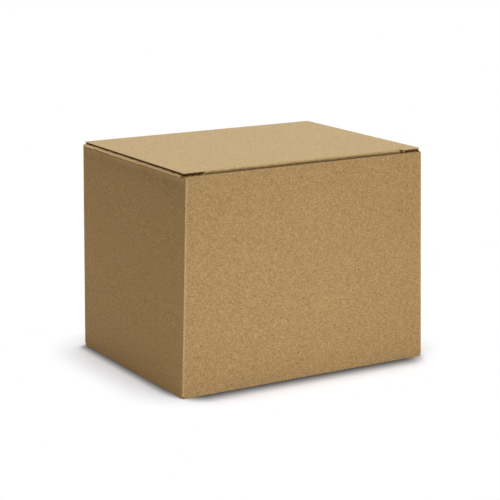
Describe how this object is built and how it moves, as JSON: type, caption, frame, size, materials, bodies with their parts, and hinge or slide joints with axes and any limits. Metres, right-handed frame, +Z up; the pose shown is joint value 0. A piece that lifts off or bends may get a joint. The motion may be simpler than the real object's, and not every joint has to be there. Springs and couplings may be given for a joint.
{
  "type": "closed cardboard box",
  "caption": "Closed shipping carton of corrugated kraft board with a hinged one-piece lid, slit-locked tuck flap, dust flaps and a snap-lock bottom",
  "frame": {"origin": "middle of the carton's footprint, on the surface it stands on", "axes": "X along the wide front, Y from the front to the hinged back, Z up"},
  "size_m": [0.25, 0.196, 0.198],
  "materials": {
    "kraft_board": "matt uncoated kraft paper liner"
  },
  "bodies": {
    "carton": {"carton_body": "kraft_board"},
    "lid": {"tuck_lid": "kraft_board"}
  },
  "joints": [
    {"name": "lid_crease", "type": "hinge", "parent": "carton", "child": "lid", "pos_m": [0, 0.0965, 0.1965], "axis": [-1, 0, 0], "range_deg": [0, 180]}
  ]
}
